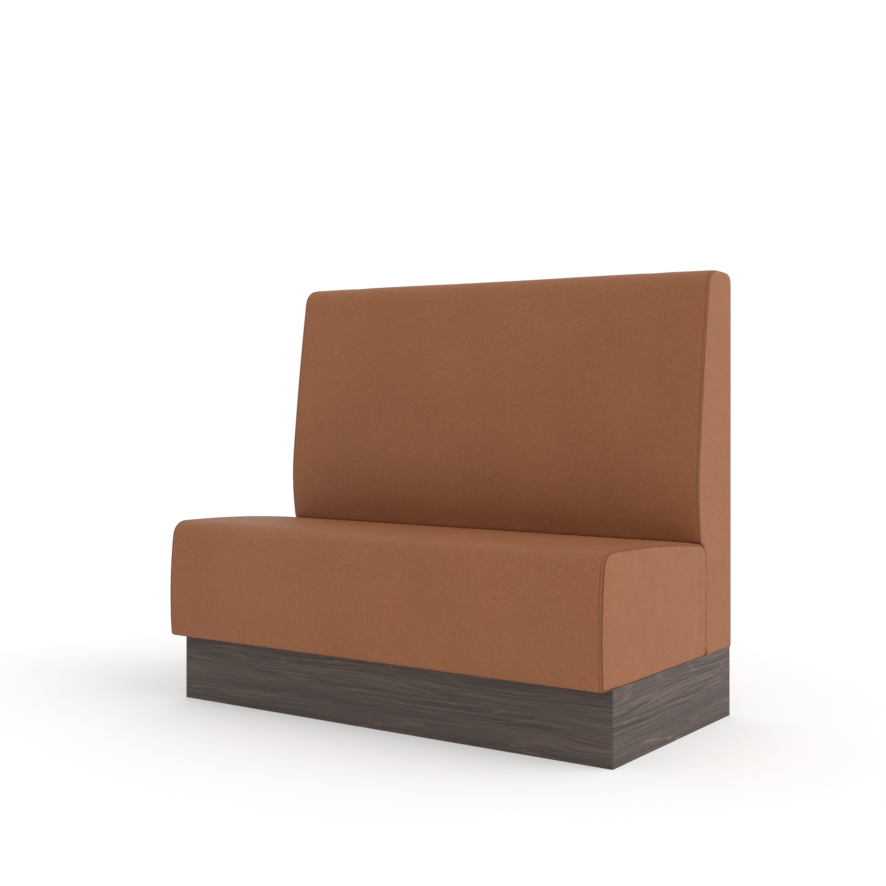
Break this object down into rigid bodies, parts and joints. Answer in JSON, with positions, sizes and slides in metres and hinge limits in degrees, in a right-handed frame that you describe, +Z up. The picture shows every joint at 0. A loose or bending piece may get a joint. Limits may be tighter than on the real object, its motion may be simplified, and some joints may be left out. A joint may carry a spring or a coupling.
{
  "type": "restaurant booth seating",
  "caption": "Free-standing padded booth bench with a tall padded back on a wood-grain plinth, for a pub, cafe or restaurant.",
  "frame": {"origin": "on the floor, under the middle of the booth's width and depth", "axes": "+X along the bench, towards the end that shows its side in the picture, +Y from the front to the back, +Z up"},
  "size_m": [1.219, 0.65, 1.054],
  "materials": {
    "leathercloth": "satin tan faux leather with a fine grain",
    "plinth_laminate": "matte dark walnut-grain laminate",
    "plywood": "raw birch plywood",
    "softwood": "raw planed pine",
    "hardboard": "smooth-faced hardboard",
    "foam": "open-cell foam",
    "firm_foam": "firm bonded foam",
    "dust_cloth": "black spun-bonded cloth",
    "zinc_steel": "bright zinc plate",
    "pad_plastic": "moulded black nylon"
  },
  "bodies": {
    "booth": {"back_bottom_rail": "plywood", "back_cover": "leathercloth", "back_end_cover_left": "leathercloth", "back_end_cover_right": "leathercloth", "back_end_left": "plywood", "back_end_pad_left": "foam", "back_end_pad_right": "foam", "back_end_right": "plywood", "back_face_board": "hardboard", "back_foam": "foam", "back_frame_screws": "zinc_steel", "back_lower_rail": "plywood", "back_middle_rail": "plywood", "back_rib_left": "plywood", "back_rib_right": "plywood", "back_top_rail": "plywood", "bracket_screws": "zinc_steel", "corner_block_back_left": "softwood", "corner_block_back_right": "softwood", "corner_block_front_left": "softwood", "corner_block_front_right": "softwood", "corner_block_screws": "zinc_steel", "deck_screws": "zinc_steel", "dust_cover": "dust_cloth", "joining_bolts": "zinc_steel", "joining_washers": "zinc_steel", "lumbar_pad": "firm_foam", "outside_back_board": "hardboard", "outside_back_cover": "leathercloth", "plinth_back_board": "plinth_laminate", "plinth_brackets": "zinc_steel", "plinth_cross_rail": "plywood", "plinth_front_board": "plinth_laminate", "plinth_left_board": "plinth_laminate", "plinth_right_board": "plinth_laminate", "seat_back_rail": "plywood", "seat_cover": "leathercloth", "seat_deck": "plywood", "seat_end_cover_left": "leathercloth", "seat_end_cover_right": "leathercloth", "seat_end_left": "plywood", "seat_end_pad_left": "foam", "seat_end_pad_right": "foam", "seat_end_right": "plywood", "seat_foam": "foam", "seat_frame_screws": "zinc_steel", "seat_front_foam": "foam", "seat_front_rail": "plywood", "seat_rib_left": "plywood", "seat_rib_right": "plywood", "tee_nuts": "zinc_steel"},
    "levelling_foot_front_right": {"levelling_stem_front_right": "zinc_steel", "levelling_pad_front_right": "pad_plastic"},
    "levelling_foot_front_left": {"levelling_stem_front_left": "zinc_steel", "levelling_pad_front_left": "pad_plastic"},
    "levelling_foot_back_right": {"levelling_stem_back_right": "zinc_steel", "levelling_pad_back_right": "pad_plastic"},
    "levelling_foot_back_left": {"levelling_stem_back_left": "zinc_steel", "levelling_pad_back_left": "pad_plastic"}
  },
  "joints": [
    {"name": "foot_slide_front_right", "type": "slide", "parent": "booth", "child": "levelling_foot_front_right", "axis": [0, 0, -1], "range_m": [0, 0.02]},
    {"name": "foot_slide_front_left", "type": "slide", "parent": "booth", "child": "levelling_foot_front_left", "axis": [0, 0, -1], "range_m": [0, 0.02]},
    {"name": "foot_slide_back_right", "type": "slide", "parent": "booth", "child": "levelling_foot_back_right", "axis": [0, 0, -1], "range_m": [0, 0.02]},
    {"name": "foot_slide_back_left", "type": "slide", "parent": "booth", "child": "levelling_foot_back_left", "axis": [0, 0, -1], "range_m": [0, 0.02]}
  ]
}
